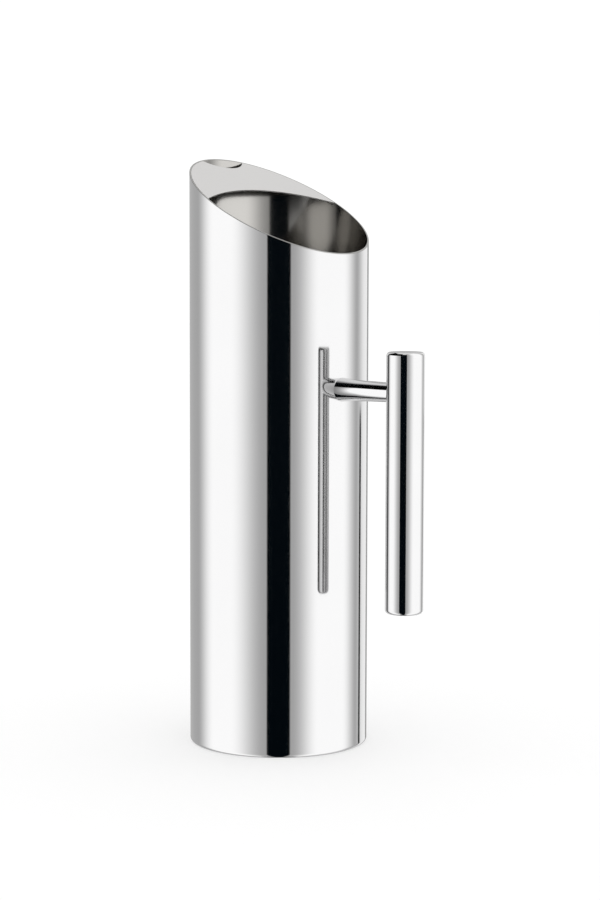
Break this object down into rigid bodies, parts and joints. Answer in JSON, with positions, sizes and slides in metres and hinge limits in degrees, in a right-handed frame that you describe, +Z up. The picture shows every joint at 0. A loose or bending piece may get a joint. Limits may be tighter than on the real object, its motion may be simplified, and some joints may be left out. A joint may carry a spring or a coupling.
{
  "type": "water pitcher",
  "caption": "Tall cylindrical stainless steel water pitcher with a slanted mouth, an ice guard with a pour slot, and an upright bar handle on a stem.",
  "frame": {"origin": "on the body's axis, in the plane of the foot ring that the pitcher stands on", "axes": "+Z up along the body's axis, +X towards the handle, -X towards the spout; symmetric about the XZ plane"},
  "size_m": [0.1409, 0.09, 0.2959],
  "materials": {
    "body_polish": "mirror-polished stainless steel",
    "guard_polish": "polished stainless steel sheet",
    "handle_polish": "mirror-polished stainless steel",
    "weld_bead": "cleaned weld metal",
    "machined_steel": "turned stainless steel"
  },
  "bodies": {
    "root": {"body_tube": "body_polish", "base_pan": "body_polish", "base_seam_weld": "weld_bead", "ice_guard": "guard_polish", "guard_weld": "weld_bead", "handle_bar": "handle_polish", "bar_top_cap": "handle_polish", "bar_bottom_cap": "handle_polish", "handle_stem": "handle_polish", "stem_stud": "machined_steel", "stud_weld": "weld_bead", "bar_boss": "machined_steel"}
  },
  "joints": []
}
